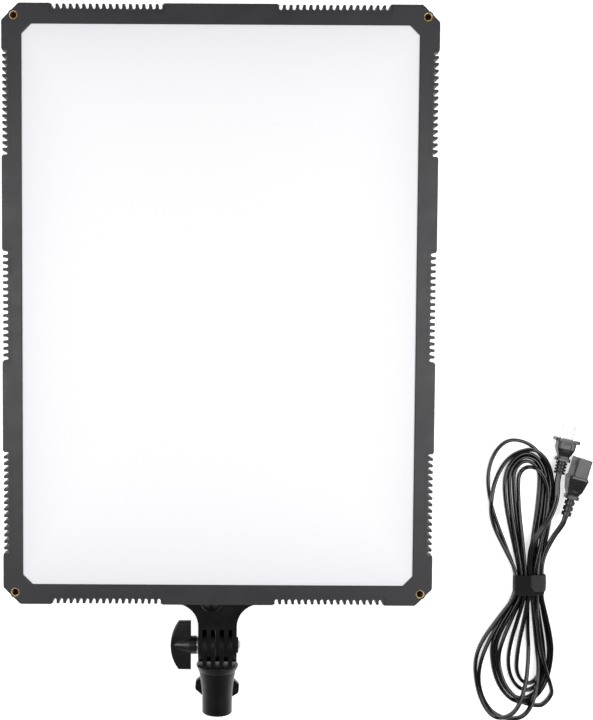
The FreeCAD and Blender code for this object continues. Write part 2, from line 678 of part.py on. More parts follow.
def upper_bracket():
    neck = prism(neck_outline(-TINE_R), 2 * TINE_R)
    wide = NECK_HALF + FOOT_R
    base = rounded_plate(wide, (BASE_UP - EDGE_UP) / 2 + 1, 8, BASE_LOW, REAR_Z - TILT_Z,
                         (0, (BASE_UP + EDGE_UP) / 2 - 1))
    gusset_points = [V(-NECK_HALF, SLOT_TOP, -TINE_R), V(-NECK_HALF, EDGE_UP, -TINE_R),
                     V(-NECK_HALF, BASE_UP - 12, BASE_LOW), V(-NECK_HALF, EDGE_UP, BASE_TOP - 1),
                     V(-NECK_HALF, SLOT_TOP, 0)]
    gusset = Part.Face(Part.makePolygon(gusset_points + [gusset_points[0]]))
    gusset = gusset.extrude(V(2 * NECK_HALF, 0, 0))
    tines = [tine(i * 2 * TINE_T, TINE_T, SLOT_TOP + 0.5) for i in (-2, -1, 0, 1, 2)]
    boss = rod((NECK_HALF, 0, 0), (1, 0, 0), BOSS_TILT_R, BOSS_TILT_T)
    body = merge([neck, base, gusset, boss] + tines)
    scoop = Part.makeSphere(16.0, V(-6.2, EDGE_UP + 1.5, TINE_R + 11.6))
    cutters = [scoop, rod((-40, 0, 0), (1, 0, 0), BOLT_R + RUN_GAP, 80)]
    cutters += [rod((x, y + HALF_H + EDGE_UP, BASE_LOW - 1), (0, 0, 1), BRACKET_SCREW_R, 30)
                for x, y in FOOT_SCREWS]
    to_bracket = (0, PANEL_Y - TILT_Y, -TILT_Z)
    cutters += [moved(frame_shape, *to_bracket), moved(cover_shape, *to_bracket)]
    return body.cut(cutters)


def socket_body():
    tube = turned([(0, COLLAR_AT - 1.6), (COLLAR_R - 1.2, COLLAR_AT - 1.6), (COLLAR_R, COLLAR_AT - 0.6),
                   (COLLAR_R, COLLAR_AT + 0.6), (19.7, COLLAR_AT + 5.0), (19.0, COLLAR_AT + 5.4),
                   (17.7, COLLAR_AT + 13.3), (16.4, COLLAR_AT + 22), (SOCKET_R, COLLAR_AT + 33),
                   (SOCKET_R, SOCKET_LEN - 1.0), (SOCKET_R - 1.0, SOCKET_LEN), (0, SOCKET_LEN)],
                  (0, -1, 0))
    boss = rod((0, -LOCK_BELOW, -SOCKET_R + 3), (0, 0, -1), 9.0, 12.5)
    tines = [tine((i - 1.5) * 2 * TINE_T, TINE_T - 2 * RUN_GAP, -(COLLAR_AT - 1.0)) for i in range(4)]
    body = merge([tube, boss] + tines)
    mouth = Part.makeCone(SPIGOT_BORE_R, SPIGOT_BORE_R + 1.2, 1.2, V(0, -SOCKET_LEN + 1.2, 0), V(0, -1, 0))
    cutters = [
        rod((0, -SOCKET_LEN, 0), (0, 1, 0), SPIGOT_BORE_R, SPIGOT_DEEP), mouth,
        rod((0, -LOCK_BELOW, 0), (0, 0, -1), LOCK_R + RUN_GAP, 40),
        rod((0, -LOCK_BELOW, -SOCKET_R), (0, 0, -1), 5.0, 20),
        rod((-40, 0, 0), (1, 0, 0), BOLT_R + RUN_GAP, 80),
    ]
    return body.cut(cutters)


def tilt_bolt():
    """Bolt with a small dome head on the right, its shank through every tine."""
    head_r = 5.6
    head_h = 3.2
    seat = NECK_HALF + BOSS_TILT_T
    dome_r = (head_r ** 2 + head_h ** 2) / (2 * head_h)
    ball = Part.makeSphere(dome_r, V(seat + head_h - dome_r, 0, 0))
    head = ball.common(rod((seat, 0, 0), (1, 0, 0), head_r, head_h + 1))
    shank = rod((BOLT_END, 0, 0), (1, 0, 0), BOLT_R, seat - BOLT_END)
    return head.fuse(shank)


def wing_outline(half_length, depth, end_drop, y):
    """Flat inner edge, square ends, bulging outer edge; depth along +Z from zero."""
    return Part.Wire([
        Part.LineSegment(V(-half_length, y, 0), V(half_length, y, 0)).toShape(),
        Part.LineSegment(V(half_length, y, 0), V(half_length, y, depth - end_drop)).toShape(),
        Part.Arc(V(half_length, y, depth - end_drop), V(0, y, depth),
                 V(-half_length, y, depth - end_drop)).toShape(),
        Part.LineSegment(V(-half_length, y, depth - end_drop), V(-half_length, y, 0)).toShape(),
    ])


def wing_knob(side, hub_h, plan, crest_r, bore_r, bore_deep):
    """Wing knob, axis +Z, wing along X: hub, a wing, and a cone that thins from hub to crest.

    side is (half length, depth, end drop) of the wing seen from its broad side. plan is its half
    shape seen from the end: (shoulder x, shoulder y, end y, end radius).
    """
    half_length, depth, end_drop = side
    shoulder, centre_half, end_half, end_r = plan
    hub = rod((0, 0, 0), (0, 0, 1), KNOB_HUB_R, hub_h + 2)
    broad = prism(wing_outline(half_length, depth, end_drop, -40), 80, (0, 1, 0))
    quarter = [V(half_length, end_half, 0), V(shoulder, centre_half, 0)]
    outline = quarter + [V(-p.x, p.y, 0) for p in reversed(quarter)]
    outline += [V(-p.x, -p.y, 0) for p in outline]
    outline = rounded_wire(outline, [end_r, 6.0, 6.0, end_r] * 2)
    wing = moved(prism(outline, depth + 2).common(broad), 0, 0, hub_h)
    rounded = wing.makeFillet(1.2, [e for e in wing.Edges if e.CenterOfMass.z > hub_h + 1.0])
    cone = Part.makeCone(KNOB_HUB_R, crest_r, depth, V(0, 0, hub_h))
    cone = cone.common(moved(broad, 0, 0, hub_h))
    body = merge([hub, rounded, cone])
    return body.cut(rod((0, 0, -1), (0, 0, 1), bore_r, bore_deep + 1))


export("upper_bracket", upper_bracket(), TILT)
export("socket_body", socket_body(), TILT)
export("tilt_bolt", tilt_bolt(), TILT)
export("tilt_washer", ring((-NECK_HALF - 1.6, 0, 0), (1, 0, 0), 9.0, BOLT_R + RUN_GAP, 1.6), TILT)
export("bracket_screws", Part.makeCompound(
    [pan_screw(x, y + HALF_H + EDGE_UP, BASE_LOW, BRACKET_SCREW_R, 18, 4.2, 2.8)
     for x, y in FOOT_SCREWS]), TILT)

# T-knob on the bolt's left end, with its threaded insert
KNOB_START = -NECK_HALF - 1.75
INSERT_LEN = 14.0
tilt_knob = wing_knob((25.3, 21.1, 8.5), 5.8, (9.0, 5.0, 3.8, 2.0), 4.2, 6.5, INSERT_LEN + 2.0)
tilt_knob.rotate(V(0, 0, 0), V(0, 1, 0), -90)
tilt_knob.rotate(V(0, 0, 0), V(1, 0, 0), 90)
export("tilt_knob", moved(tilt_knob, KNOB_START), TILT)
export("tilt_knob_insert", ring((KNOB_START, 0, 0), (-1, 0, 0), 6.5 - RUN_GAP, BOLT_R + RUN_GAP,
                                INSERT_LEN), TILT)

# stand lock behind the socket: threaded insert, stud and wing knob
BOSS_END = SOCKET_R - 3 + 12.5
LOCK_HUB = 5.0
LOCK_KNOB_AT = -BOSS_END - 0.2
lock_knob = wing_knob((23.2, 10.5, 3.0), LOCK_HUB, (14.5, 11.0, 4.4, 3.6), 5.0, LOCK_R + RUN_GAP, 11.0)
lock_knob.rotate(V(0, 0, 0), V(1, 0, 0), 180)
lock_knob.rotate(V(0, 0, 0), V(0, 0, 1), -5)
export("lock_insert", ring((0, -LOCK_BELOW, -SOCKET_R), (0, 0, -1), 5.0, LOCK_R + RUN_GAP,
                           BOSS_END - SOCKET_R), TILT)
export("lock_stud", rod((0, -LOCK_BELOW, -SPIGOT_BORE_R - 0.3), (0, 0, -1), LOCK_R,
                        BOSS_END + 10.0 - SPIGOT_BORE_R - 0.3), TILT)
export("lock_knob", moved(lock_knob, 0, -LOCK_BELOW, LOCK_KNOB_AT), TILT)


# ---------------------------------------------------------------- mains cord, tied in a hank
CORD_R = 2.5
HANK_H = 13.0
PLUG_AT = V(373.6, -61.8, 9.0)            # middle of the blade tips
PLUG_TURN = -12.0                         # plug axis from +Y, about Z
CONNECTOR_AT = V(385.8, -98.6, 13.5)      # middle of the nose face; it stands on its narrow side
CONNECTOR_TURN = -15.4
PLUG_LEN = 54.6
CONNECTOR_LEN = 63.0
TIE_AT = V(332.4, -234.0, 0)
TIE_HALF = (16.4, 11.0)
TIE_T = 1.3
TIE_H = 15.8

HANK_OUTLINE = (
    (319.8, -222), (308.5, -198), (299.5, -172), (291.5, -146), (288.5, -120), (291.5, -98),
    (301.5, -84), (315.5, -79.5), (331.5, -86), (345.5, -95), (354.5, -111), (358.5, -132),
    (357.0, -152), (352.5, -176), (350.0, -196), (345.5, -222), (346.5, -246), (354.5, -280),
    (360.5, -312), (359.5, -344), (357.5, -368), (346.0, -371), (332.5, -375), (310.0, -381),
    (292.0, -375), (280.5, -354), (276.5, -326), (283.5, -296), (300.0, -268), (318.2, -246),
)


def hank_solid():
    curve = Part.BSplineCurve()
    curve.interpolate([V(x, y, 0) for x, y in HANK_OUTLINE], PeriodicFlag=True)
    outline = Part.Wire([curve.toShape()])
    return prism(outline, HANK_H)


def cord_tie():
    """Hook-and-loop strap round the waist, its rounded end lapped on top."""
    x, y = TIE_AT.x, TIE_AT.y
    half_x, half_y = TIE_HALF
    loop = [V(x - half_x, y - half_y, 0), V(x + half_x, y - half_y, 0),
            V(x + half_x, y - half_y, TIE_H), V(x - half_x, y - half_y, TIE_H)]
    hole = [V(x - half_x + TIE_T, y - half_y, TIE_T), V(x + half_x - TIE_T, y - half_y, TIE_T),
            V(x + half_x - TIE_T, y - half_y, TIE_H - TIE_T), V(x - half_x + TIE_T, y - half_y, TIE_H - TIE_T)]
    band = prism(rounded_wire(loop, 4.5), 2 * half_y, (0, 1, 0))
    band = band.cut(prism(rounded_wire(hole, 3.2), 2 * half_y, (0, 1, 0)))
    tab = rounded_plate(6.0, half_y - 1.5, 5.0, TIE_H, TIE_H + TIE_T, (x + half_x - 10.5, y))
    return band.fuse(tab)


def lofted(sections):
    """Loft through rounded rectangles (distance along -Y, half width, half height, radius)."""
    wires = []
    for along, half_x, half_z, radius in sections:
        points = [V(sx * half_x, -along, sz * half_z) for sx, sz in ((1, 1), (-1, 1), (-1, -1), (1, -1))]
        wires.append(rounded_wire(points, radius))
    return Part.makeLoft(wires, True, True)


def ribbed_relief(start, end, wide, narrow, pitch, rib):
    """Strain relief along -Y: a tapering core with ribs round it, one every pitch."""
    length = end - start
    core = Part.makeCone(wide - 1.4, narrow - 1.6, length, V(0, -start, 0), V(0, -1, 0))
    rings = []
    for i in range(int(length / pitch)):
        at = end - rib - i * pitch
        r = wide + (narrow - wide) * (at - start) / length
        rings.append(rod((0, -at, 0), (0, -1, 0), r, rib))
    return merge([core] + rings)


def grip_panels(sections, near, far):
    """Trapezoid recesses on the top and bottom of a lofted body; near and far are (distance, half width)."""
    core = lofted([(at, half_x, half_z - GRIP_DEEP, radius) for at, half_x, half_z, radius in sections])
    panels = []
    for sz in (-1, 1):
        corners = [V(near[1], -near[0], 0), V(-near[1], -near[0], 0), V(-far[1], -far[0], 0),
                   V(far[1], -far[0], 0)]
        panels.append(prism(rounded_wire(corners, 1.0), 20, (0, 0, sz)).cut(core))
    return panels


def lay(shape, at, turn):
    copy = shape.copy()
    copy.rotate(V(0, 0, 0), V(0, 0, 1), turn)
    copy.translate(at)
    return copy


BLADE_LEN = 17.0
BLADE_GAP = 12.7
GRIP_DEEP = 0.9           # recess of the grip panels


def plug_body():
    flange = lofted([(BLADE_LEN, 13.1, 8.6, 3.5), (BLADE_LEN + 3.2, 13.1, 8.6, 3.5)])
    cup_sections = [(BLADE_LEN + 3.2, 9.7, 7.6, 3.0), (BLADE_LEN + 10.5, 9.4, 7.6, 3.0),
                    (BLADE_LEN + 15, 7.6, 6.8, 2.8), (BLADE_LEN + 18.5, 5.9, 5.6, 2.6),
                    (BLADE_LEN + 20.8, 5.9, 5.6, 2.6)]
    collar = lofted([(BLADE_LEN + 20.6, 7.6, 6.4, 3.0), (BLADE_LEN + 24.0, 7.6, 6.4, 3.0)])
    relief = ribbed_relief(BLADE_LEN + 24.0, PLUG_LEN, 6.1, 5.8, 3.4, 2.1)
    body = merge([flange, lofted(cup_sections), collar, relief])
    slots = [centred_box((sx * BLADE_GAP / 2, -BLADE_LEN - 4, 0), (1.5, 8, 6.3)) for sx in (-1, 1)]
    panels = grip_panels(cup_sections, (BLADE_LEN + 5.2, 4.6), (BLADE_LEN + 12.5, 3.4))
    return body.cut(slots + panels)


def plug_blades():
    blades = []
    for sx in (-1, 1):
        x = sx * BLADE_GAP / 2
        blade = centred_box((x, -(BLADE_LEN + 8) / 2, 0), (1.5, BLADE_LEN + 8, 6.3))
        tip = [e for e in blade.Edges if abs(e.CenterOfMass.y) < 1e-6 and abs(e.CenterOfMass.z) > 3]
        blade = blade.makeFillet(1.6, tip)
        blades.append(blade.cut(rod((x - 2, -4.0, 0), (1, 0, 0), 1.5, 4)))
    return Part.makeCompound(blades)


def connector_body():
    nose = lofted([(0, 7.6, 11.6, 1.5), (20, 7.6, 11.6, 1.5)])
    grip_sections = [(19.5, 8.8, 10.6, 2.0), (22.0, 10.2, 11.0, 2.2), (35.0, 8.0, 8.6, 2.2),
                     (40.0, 5.8, 6.0, 2.2), (41.0, 5.8, 6.0, 2.2)]
    collar = lofted([(40.8, 7.0, 7.2, 3.0), (44.6, 7.0, 7.2, 3.0)])
    relief = ribbed_relief(44.6, CONNECTOR_LEN, 5.5, 5.3, 6.0, 4.2)
    body = merge([nose, lofted(grip_sections), collar, relief])
    slots = [centred_box((0, -7, sz * 7), (5.2, 16, 2.2)) for sz in (-1, 1)]
    panels = grip_panels(grip_sections, (24.0, 5.4), (35.5, 3.8))
    return body.cut(slots + panels)


def arc_path(points):
    """Straight runs joined by tangent arcs, each as large as its two runs allow."""
    edges = []
    radii = []
    last = points[0]
    for before, here, after in zip(points, points[1:], points[2:]):
        back = (before - here).normalize()
        on = (after - here).normalize()
        half = back.getAngle(on) / 2
        reach = 0.45 * min(here.distanceToPoint(before), here.distanceToPoint(after))
        radius = reach * math.tan(half)
        start = here + back * reach
        end = here + on * reach
        middle = here + (back + on).normalize() * (radius / math.sin(half) - radius)
        edges.append(Part.LineSegment(last, start).toShape())
        edges.append(Part.Arc(start, middle, end).toShape())
        radii.append(round(radius, 1))
        last = end
    edges.append(Part.LineSegment(last, points[-1]).toShape())
    return Part.Wire(edges), radii


def cord_tube(name, points, hank):
    path, radii = arc_path(points)
    circle = Part.Wire([Part.makeCircle(CORD_R, points[0], points[1] - points[0])])
    tube = path.makePipeShell([circle], True, False)
    ratio = tube.Volume / (math.pi * CORD_R ** 2 * path.Length)
    print("%s: length %.1f mm, radii %s mm, volume ratio %.4f" % (name, path.Length, radii, ratio))
    return tube.cut(hank)


def along(at, turn, distance):
    """Point on a plug's or connector's axis, that far back from its front."""
    a = math.radians(turn)
    return V(at.x + distance * math.sin(a), at.y - distance * math.cos(a), at.z)


plug_end = along(PLUG_AT, PLUG_TURN, PLUG_LEN)
connector_end = along(CONNECTOR_AT, CONNECTOR_TURN, CONNECTOR_LEN)
# free stretches of the cord, from each strain relief into the hank
PLUG_LEAD = [plug_end, along(PLUG_AT, PLUG_TURN, PLUG_LEN + 9), V(359.8, -135.0, 7.8),
             V(356.4, -147.5, 6.6)]
CONNECTOR_LEAD = [connector_end, along(CONNECTOR_AT, CONNECTOR_TURN, CONNECTOR_LEN + 10),
                  V(356.6, -182.0, 11.0), V(348.5, -199.5, 8.0)]

tie_shape = cord_tie()
hank_shape = hank_solid().cut(tie_shape)
export("cord_hank", hank_shape)
export("cord_tie", tie_shape)
export("plug_body", lay(plug_body(), PLUG_AT, PLUG_TURN))
export("plug_blades", lay(plug_blades(), PLUG_AT, PLUG_TURN))
export("connector_body", lay(connector_body(), CONNECTOR_AT, CONNECTOR_TURN))
export("plug_lead", cord_tube("plug_lead", PLUG_LEAD, hank_shape))
export("connector_lead", cord_tube("connector_lead", CONNECTOR_LEAD, hank_shape))

for name, solids, volume in exported:
    print("%-18s %3d solid(s) %10.2f cm3" % (name, solids, volume))
print("%d nodes" % len(exported))
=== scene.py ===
import json
import math
from collections import namedtuple

import bpy
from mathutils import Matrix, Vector, noise as rough


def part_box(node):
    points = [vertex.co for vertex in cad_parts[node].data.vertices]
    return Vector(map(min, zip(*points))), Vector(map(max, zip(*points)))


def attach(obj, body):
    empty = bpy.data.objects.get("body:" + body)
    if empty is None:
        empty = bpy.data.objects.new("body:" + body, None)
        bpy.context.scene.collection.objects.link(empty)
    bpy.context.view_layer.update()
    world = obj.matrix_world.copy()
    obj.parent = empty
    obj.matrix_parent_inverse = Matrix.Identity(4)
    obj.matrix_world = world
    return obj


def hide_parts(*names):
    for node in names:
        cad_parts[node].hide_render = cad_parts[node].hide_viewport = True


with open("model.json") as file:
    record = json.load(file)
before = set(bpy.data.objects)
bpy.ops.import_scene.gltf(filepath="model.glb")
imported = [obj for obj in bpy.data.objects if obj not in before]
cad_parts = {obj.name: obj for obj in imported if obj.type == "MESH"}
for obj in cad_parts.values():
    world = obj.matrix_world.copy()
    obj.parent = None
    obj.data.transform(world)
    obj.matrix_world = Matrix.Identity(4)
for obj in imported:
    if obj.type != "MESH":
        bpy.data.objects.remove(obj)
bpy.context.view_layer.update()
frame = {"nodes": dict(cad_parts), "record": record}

UP = Vector((0, 0, 1))
FRONT_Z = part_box("front_frame")[1].z

# Camera: nearly straight down, a little from the top edge of the panel
CAMERA_TILT = math.radians(3.06)
CAMERA_ROLL = math.radians(0.3)
CAMERA_DISTANCE = 1.203
CAMERA_AIM = Vector((-0.00125, 0.0072, FRONT_Z))
CAMERA_LENS = 60
CAMERA_SHIFT_X = 0.109
CAMERA_CLIP = (0.05, 20)

# Flat twin mains cord
CORD_WIDTH = 0.0062
CORD_THICKNESS = 0.0037
FLOOR_Z = 0.5 * CORD_WIDTH

# Hank: columns and layers of cord under the strap, at its two edges
COLUMN_X = 0.3324
COLUMN_PITCH = 0.0043
LAYER_Z = {"low": 0.0046, "high": 0.0109}
STRAP_TOP_Y = -0.223
STRAP_LOW_Y = -0.245

# Strap round the hank's waist
TIE_X, TIE_Y = 0.3324, -0.2340
TIE_HALF_X, TIE_HALF_Y, TIE_HALF_Z = 0.0162, 0.0110, 0.0079
TIE_THICK = 0.0012
TIE_ROUNDNESS = 0.42                    # power of sine and cosine: 1 is an ellipse, 0 is a box
TIE_LOWEST = 0.0002
TIE_LUMP = 0.0004                       # height of the lumps that the strands press up
TIE_LUMPS_PER_M = 260
TIE_CUP = 0.0005                        # how far the long edges curl inwards
TIE_BOW = 0.0006                        # how far the strap's middle bows towards the hank's foot
TIE_FRAY = ((0.0005, 9, 0.6), (0.0003, 40, 1))  # depth, waves round the loop, change across it
LOOP_STEPS, LOOP_ROWS = 120, 25

# Hook tab: its angles run from the strap's right side up and over the top
TAB_ANGLES = (math.radians(-8), math.radians(90))
TAB_CORNER = 0.0055
TAB_LIFT = 0.0011
TAB_LOW_TRIM, TAB_HIGH_TRIM = 0.0042, 0.0003
TAB_STEPS, TAB_ROWS = 40, 15

CONNECTOR_LEAD = (
    (0.3706, -0.1537, 0.0135), (0.3691, -0.1593, 0.0135), (0.3660, -0.1690, 0.0135),
    (0.3566, -0.1820, 0.0122), (0.3485, -0.1995, 0.0108), (0.3455, -0.2120, 0.0108),
)
PLUG_LEAD = (
    (0.3322, -0.2050, 0.0110), (0.3345, -0.1900, 0.0124), (0.3405, -0.1780, 0.0146),
    (0.3485, -0.1665, 0.0160), (0.3555, -0.1540, 0.0138), (0.3598, -0.1410, 0.0108),
    (0.3606, -0.1320, 0.0094), (0.3605, -0.1240, 0.0090), (0.3622, -0.1152, 0.0090),
    (0.3634, -0.1096, 0.0090),
)

# One half turn of the hank leaves the strap at start and comes back to it at end. It goes by its
# widest point out, its tip and its widest point back. lift is its height at eleven places, in cord
# widths, and fan is how late it reaches its widest point on each side.
Turn = namedtuple("Turn", "start end out tip back lift fan", defaults=((1.3, 1.3),))
TURNS = (
    Turn((6, "high"), (1, "low"), (0.3595, -0.310), (0.3290, -0.3645), (0.2955, -0.308),
         (0.95, 0.5, 0, 0, 0, 0, 0, 0, 0, 0, 0)),
    Turn((1, "low"), (5, "high"), (0.3060, -0.128), (0.3290, -0.0945), (0.3503, -0.128),
         (0, 0, 0, 0, 0, 0, 0, 0, 0, 0.1, 0.55)),
    Turn((5, "high"), (2, "low"), (0.3600, -0.350), (0.3460, -0.3670), (0.3033, -0.318),
         (1.9, 1.25, 0.75, 0.1, 0.1, 0.6, 1.15, 0.75, 0, 0, 0), (8.0, 1.3)),
    Turn((2, "low"), (3, "low"), (0.3155, -0.121), (0.3290, -0.1030), (0.3430, -0.121),
         (0, 0, 0, 0, 0, 0, 0, 0, 0, 0, 0)),
    Turn((3, "low"), (0, "high"), (0.3338, -0.308), (0.3025, -0.3790), (0.2775, -0.322),
         (0, 0, 0.2, 1.5, 2.4, 1.1, 0.8, 0.3, 0, 0, 0.4)),
    Turn((0, "high"), (6, "low"), (0.2905, -0.152), (0.3315, -0.0903), (0.3573, -0.135),
         (0.6, 0, 1.2, 0.7, 0.2, 1.1, 1.1, 0.6, 0, 0, 0)),
    Turn((6, "low"), (1, "high"), (0.3563, -0.312), (0.3285, -0.3600), (0.2995, -0.306),
         (0, 0, 0, 0, 0, 0, 0, 0, 0, 0.4, 0.95)),
    Turn((1, "high"), (4, "low"), (0.3108, -0.124), (0.3290, -0.0985), (0.3470, -0.124),
         (0.9, 0.1, 0, 0, 0, 0, 0, 0, 0, 0, 0)),
    Turn((4, "low"), (0, "low"), (0.3443, -0.328), (0.3130, -0.3810), (0.2818, -0.334),
         (0, 0, 0.7, 1.4, 2.3, 0.5, 0, 0, 0, 0, 0)),
    Turn((0, "low"), (5, "low"), (0.2880, -0.124), (0.3150, -0.0803), (0.3540, -0.130),
         (0, 0, 0, 0, 0, 0, 0, 0, 0, 0, 0)),
    Turn((5, "low"), (2, "high"), (0.3515, -0.320), (0.3335, -0.3510), (0.3133, -0.318),
         (0, 0, 0, 0, 0, 0, 0, 0, 0, 0.3, 0.95)),
    Turn((2, "high"), (4, "high"), (0.3205, -0.124), (0.3330, -0.1085), (0.3508, -0.140),
         (0.9, 0.1, 0, 0, 0.1, 0.9, 1.1, 1.1, 1.1, 1.2, 1.3)),
    Turn((4, "high"), (3, "high"), (0.3476, -0.324), (0.3350, -0.3435), (0.3222, -0.324),
         (0.8, 0.2, 0, 0, 0, 0, 0, 0, 0, 0.3, 0.95)),
)
RUN_PARTS = (0.35, 0.7)                 # places along the run, from the strap to the widest point
ARC_ANGLES = (0, 30, 60, 90)            # places round the bend, in degrees
ARC_SWELL = 1.035                       # control points lie this much outside the bend


def slot_point(slot, y):
    column, layer = slot
    return (COLUMN_X + (column - 3) * COLUMN_PITCH, y, LAYER_Z[layer])


def run_points(slot, side, edge_y, late):
    """The cord fans out from its place under the strap towards its widest point."""
    slot_x = slot_point(slot, edge_y)[0]
    points = []
    for part in RUN_PARTS:
        fan = math.sin(0.5 * math.pi * part) ** late
        points.append((slot_x + (side[0] - slot_x) * fan, edge_y + (side[1] - edge_y) * part))
    return points


def arc_points(side, tip):
    """A quarter of the bend, from the widest point to the tip."""
    points = []
    for degrees in ARC_ANGLES:
        angle = math.radians(degrees)
        points.append((tip[0] + (side[0] - tip[0]) * math.cos(angle) * ARC_SWELL,
                       side[1] + (tip[1] - side[1]) * math.sin(angle) * ARC_SWELL))
    return points


def half_turn(turn):
    edge_y = STRAP_TOP_Y if turn.tip[1] > STRAP_TOP_Y else STRAP_LOW_Y
    out = run_points(turn.start, turn.out, edge_y, turn.fan[0]) + arc_points(turn.out, turn.tip)
    back = run_points(turn.end, turn.back, edge_y, turn.fan[1]) + arc_points(turn.back, turn.tip)
    plan = out + back[-2::-1]
    points = [slot_point(turn.start, edge_y)]
    for (x, y), lift in zip(plan, turn.lift, strict=True):
        points.append((x, y, FLOOR_Z + lift * CORD_WIDTH))
    points.append(slot_point(turn.end, edge_y))
    return points


def cord_route():
    points = list(CONNECTOR_LEAD)
    points.append(slot_point(TURNS[0].start, STRAP_TOP_Y))
    for turn in TURNS:
        points += half_turn(turn)
    points.append(slot_point(TURNS[-1].end, STRAP_TOP_Y))
    return points + list(PLUG_LEAD)


def route_line(points):
    """The smooth line that has these control points, as a list of points along it."""
    curve = bpy.data.curves.new("cord_line", "CURVE")
    curve.dimensions = "3D"
    curve.resolution_u = 8
    spline = curve.splines.new("NURBS")
    spline.points.add(len(points) - 1)
    for control, point in zip(spline.points, points, strict=True):
        control.co = (*point, 1)
    spline.order_u = 3
    spline.use_endpoint_u = True
    holder = bpy.data.objects.new("cord_line", curve)
    mesh = bpy.data.meshes.new_from_object(holder)
    line = [vertex.co.copy() for vertex in mesh.vertices]
    bpy.data.objects.remove(holder)
    bpy.data.meshes.remove(mesh)
    return line


# Roll of the flat cord about its own line: distance from the connector end, and degrees away from
# standing on its edge
CORD_ROLL = (
    (0.0, 78), (0.035, 66), (0.075, 34), (0.12, 4), (1.0, -4), (2.0, 5), (3.0, -4), (3.90, 4),
    (3.955, 46), (4.0, 62), (4.07, 80),
)
SECTION_SIDE_POINTS = 11
SECTION_SIDE_ARC = 112                  # degrees that each core's round side runs up and down
GROOVE_HALF = 0.74                      # half thickness at the groove, in radii of a core


def between(keys, at):
    """The value at a place between (place, value) keys, eased from one to the next."""
    for (low, first), (high, last) in zip(keys, keys[1:]):
        if at <= high:
            part = max(0.0, (at - low) / (high - low))
            return first + (last - first) * part * part * (3 - 2 * part)
    return keys[-1][1]


def twin_section():
    """Section of a flat twin cord: two round cores with a shallow groove between them."""
    radius = 0.5 * CORD_THICKNESS
    centre = 0.5 * CORD_WIDTH - radius
    points = []
    for side in (1, -1):
        for i in range(SECTION_SIDE_POINTS):
            part = 2 * i / (SECTION_SIDE_POINTS - 1) - 1
            angle = math.radians(part * SECTION_SIDE_ARC)
            across = centre + radius * math.cos(angle)
            points.append((side * across, side * radius * math.sin(angle)))
        points.append((0, side * GROOVE_HALF * radius))
    return points


def build_mesh(name, verts, faces, smooth=True):
    mesh = bpy.data.meshes.new(name)
    mesh.from_pydata([tuple(v) for v in verts], [], faces)
    mesh.validate()
    mesh.update()
    for polygon in mesh.polygons:
        polygon.use_smooth = smooth
    piece = bpy.data.objects.new(name, mesh)
    bpy.context.scene.collection.objects.link(piece)
    return piece


def swept(name, line, section, rolls):
    """A tube of this section along a line, rolled about it by the angles that rolls gives."""
    verts, faces = [], []
    travelled = 0.0
    for i, point in enumerate(line):
        before = line[max(i - 1, 0)]
        after = line[min(i + 1, len(line) - 1)]
        travelled += (point - before).length
        ahead = (after - before).normalized()
        across = ahead.cross(UP).normalized()
        above = across.cross(ahead)
        roll = math.radians(between(rolls, travelled))
        wide = above * math.cos(roll) + across * math.sin(roll)
        thin = across * math.cos(roll) - above * math.sin(roll)
        verts += [point + wide * u + thin * v for u, v in section]
    count = len(section)
    for ring in range(len(line) - 1):
        low, high = ring * count, (ring + 1) * count
        for i in range(count):
            j = (i + 1) % count
            faces.append((low + i, low + j, high + j, high + i))
    faces.append(tuple(range(count))[::-1])
    faces.append(tuple(range(len(verts) - count, len(verts))))
    return build_mesh(name, verts, faces)


def tie_loop(angle, outwards):
    """Point across the hank's strap: a rounded box, pressed flat on the floor."""
    half_x, half_z = TIE_HALF_X + outwards, TIE_HALF_Z + outwards
    x = math.copysign(abs(math.cos(angle)) ** TIE_ROUNDNESS, math.cos(angle)) * half_x
    z = math.copysign(abs(math.sin(angle)) ** TIE_ROUNDNESS, math.sin(angle)) * half_z
    lumps = TIE_LUMP * rough.noise(Vector((x * TIE_LUMPS_PER_M, z * TIE_LUMPS_PER_M, 3.1)))
    return TIE_X + x * (1 + lumps / TIE_HALF_X), max(TIE_HALF_Z + z + lumps, TIE_LOWEST)


def strap(name, angles, rows, edge_at, lift):
    """A strip of strap over the loop's angles; edge_at(side, angle) is its place along Y, and side
    runs from -1 at one long edge to 1 at the other."""
    verts, faces = [], []
    width = len(angles)
    for outwards in (lift, lift - TIE_THICK):
        for row in range(rows):
            side = 2 * row / (rows - 1) - 1
            cupped = outwards - TIE_CUP * side ** 4
            for angle in angles:
                x, z = tie_loop(angle, cupped)
                verts.append((x, edge_at(side, angle), z))
    closed = abs(angles[-1] - angles[0]) > 1.9 * math.pi
    columns = width if closed else width - 1
    sheet = rows * width
    for row in range(rows - 1):
        for i in range(columns):
            j = (i + 1) % width
            low, high = row * width, (row + 1) * width
            a, b, c, d = low + i, low + j, high + j, high + i
            faces += [(a, b, c, d), (sheet + d, sheet + c, sheet + b, sheet + a)]
    last = (rows - 1) * width
    for i in range(columns):
        j = (i + 1) % width
        a, b = last + i, last + j
        faces += [(j, i, sheet + i, sheet + j), (a, b, sheet + b, sheet + a)]
    if not closed:
        for row in range(rows - 1):
            a, b = row * width, (row + 1) * width
            c, d = a + width - 1, b + width - 1
            faces += [(a, b, sheet + b, sheet + a), (d, c, sheet + c, sheet + d)]
    return build_mesh(name, verts, faces)


def loop_edge(side, angle):
    """Frayed long edges of the strap, which bows a little towards the hank's foot."""
    fray = sum(depth * rough.noise(Vector((math.cos(angle) * waves, math.sin(angle) * waves,
                                           side * change)))
               for depth, waves, change in TIE_FRAY)
    bow = TIE_BOW * (1 - math.cos(angle) ** 2)
    return TIE_Y + side * (TIE_HALF_Y - TIE_BOW) + fray * side - bow


